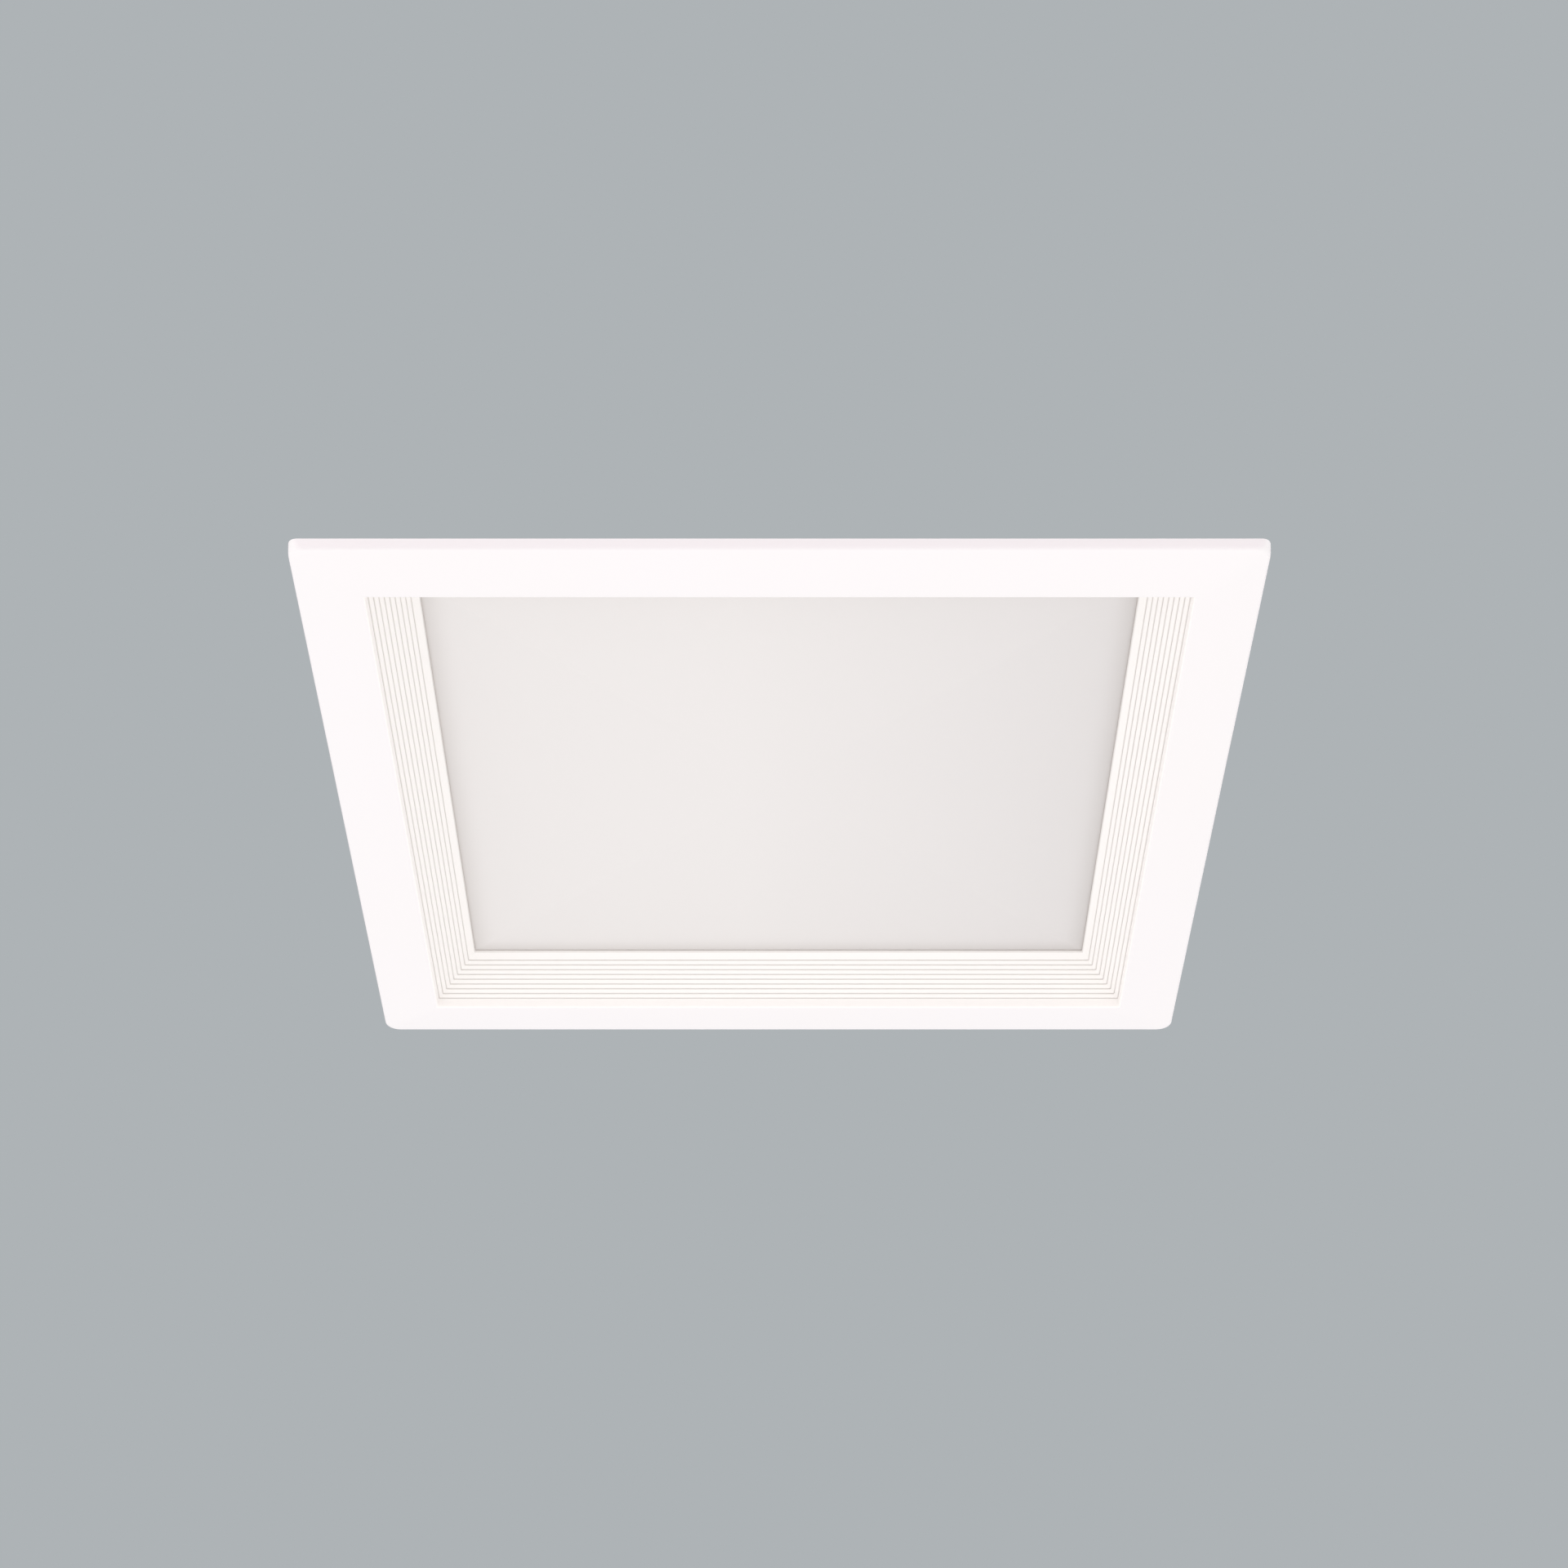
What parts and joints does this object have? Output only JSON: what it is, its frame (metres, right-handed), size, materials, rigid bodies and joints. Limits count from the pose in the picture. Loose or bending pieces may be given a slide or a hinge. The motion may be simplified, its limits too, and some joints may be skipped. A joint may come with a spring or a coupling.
{
  "type": "recessed downlight",
  "caption": "Square recessed ceiling downlight with a grooved anti-glare recess, opal panel, finned housing, built-in driver box and sprung ceiling clips.",
  "frame": {"origin": "centre of the square trim, on the plane of the crest that it lies on face down", "axes": "+Z into the ceiling, away from the room; +X towards one spring clip; +Y towards the mains cable entries"},
  "size_m": [0.2712, 0.225, 0.0818],
  "materials": {
    "trim_white": "satin white powder coat",
    "opal_plastic": "opal, fine matt face",
    "gasket_foam": "grey silicone",
    "reflector_white": "diffuse white",
    "led_board_white": "white solder mask on aluminium",
    "led_yellow": "phosphor in a white package",
    "connector_ivory": "moulded nylon",
    "zinc_steel": "bright zinc plate",
    "pad_grey": "filled silicone",
    "cast_aluminium": "blasted die casting",
    "black_rubber": "matt",
    "red_pvc": "wire insulation",
    "black_pvc": "wire insulation",
    "driver_plastic": "fine moulded texture",
    "circuit_green": "solder mask",
    "ferrite": "ground ferrite",
    "yellow_tape": "polyester tape",
    "ring_core_green": "coated ring core",
    "copper_wire": "enamelled copper",
    "capacitor_yellow": "moulded box",
    "capacitor_sleeve": "shrink sleeve",
    "chip_black": "moulded epoxy",
    "tab_aluminium": "cut sheet",
    "fuse_brown": "moulded cap",
    "terminal_grey": "moulded polyamide",
    "terminal_brass": "bright",
    "clip_steel": "zinc-plated sheet",
    "spring_steel": "bright spring wire",
    "tip_plastic": "soft moulded sleeve"
  },
  "bodies": {
    "root": {"trim_frame": "trim_white", "opal_panel": "opal_plastic", "panel_gasket": "gasket_foam", "reflector": "reflector_white", "led_board": "led_board_white", "led_packages": "led_yellow", "led_connector": "connector_ivory", "board_screws": "zinc_steel", "thermal_pad": "pad_grey", "housing": "cast_aluminium", "housing_screws": "zinc_steel", "heat_sink": "cast_aluminium", "lead_grommets": "black_rubber", "red_lead": "red_pvc", "black_lead": "black_pvc", "driver_tray": "driver_plastic", "tray_screws": "zinc_steel", "driver_board": "circuit_green", "driver_board_screws": "zinc_steel", "transformer_core": "ferrite", "transformer_winding": "yellow_tape", "choke_core": "ring_core_green", "choke_winding": "copper_wire", "film_capacitor": "capacitor_yellow", "input_capacitor": "capacitor_sleeve", "output_capacitors": "capacitor_sleeve", "bridge_rectifier": "chip_black", "switching_transistor": "chip_black", "heat_tab": "tab_aluminium", "controller_chip": "chip_black", "fuse": "fuse_brown", "output_connector": "connector_ivory", "terminal_block": "terminal_grey", "terminal_clamps": "terminal_brass", "terminal_screws": "zinc_steel", "cable_clamp": "driver_plastic", "cable_clamp_screws": "zinc_steel", "cable_grommets": "black_rubber", "driver_cover": "driver_plastic", "cover_screws": "zinc_steel", "lid_pin": "zinc_steel", "right_clip_bracket": "clip_steel", "right_bracket_screws": "zinc_steel", "right_clip_pin": "zinc_steel", "right_clip_spring": "spring_steel", "left_clip_bracket": "clip_steel", "left_bracket_screws": "zinc_steel", "left_clip_pin": "zinc_steel", "left_clip_spring": "spring_steel"},
    "right_clip": {"right_clip_arm": "clip_steel", "right_clip_tip": "tip_plastic"},
    "left_clip": {"left_clip_arm": "clip_steel", "left_clip_tip": "tip_plastic"},
    "lid": {"terminal_lid": "driver_plastic"}
  },
  "joints": [
    {"name": "right_clip_swing", "type": "hinge", "parent": "root", "child": "right_clip", "pos_m": [0.09551, 0, 0.02895], "axis": [0, -1, 0], "range_deg": [0, 115], "stiffness_Nm_per_rad": 0.12, "springref_deg": -85.94, "deforming": ["right_clip_spring"]},
    {"name": "left_clip_swing", "type": "hinge", "parent": "root", "child": "left_clip", "pos_m": [-0.09551, 0, 0.02895], "axis": [0, 1, 0], "range_deg": [0, 115], "stiffness_Nm_per_rad": 0.12, "springref_deg": -85.94, "deforming": ["left_clip_spring"]},
    {"name": "lid_swing", "type": "hinge", "parent": "root", "child": "lid", "pos_m": [0, 0.04, 0.07945], "axis": [1, 0, 0], "range_deg": [0, 110]}
  ]
}
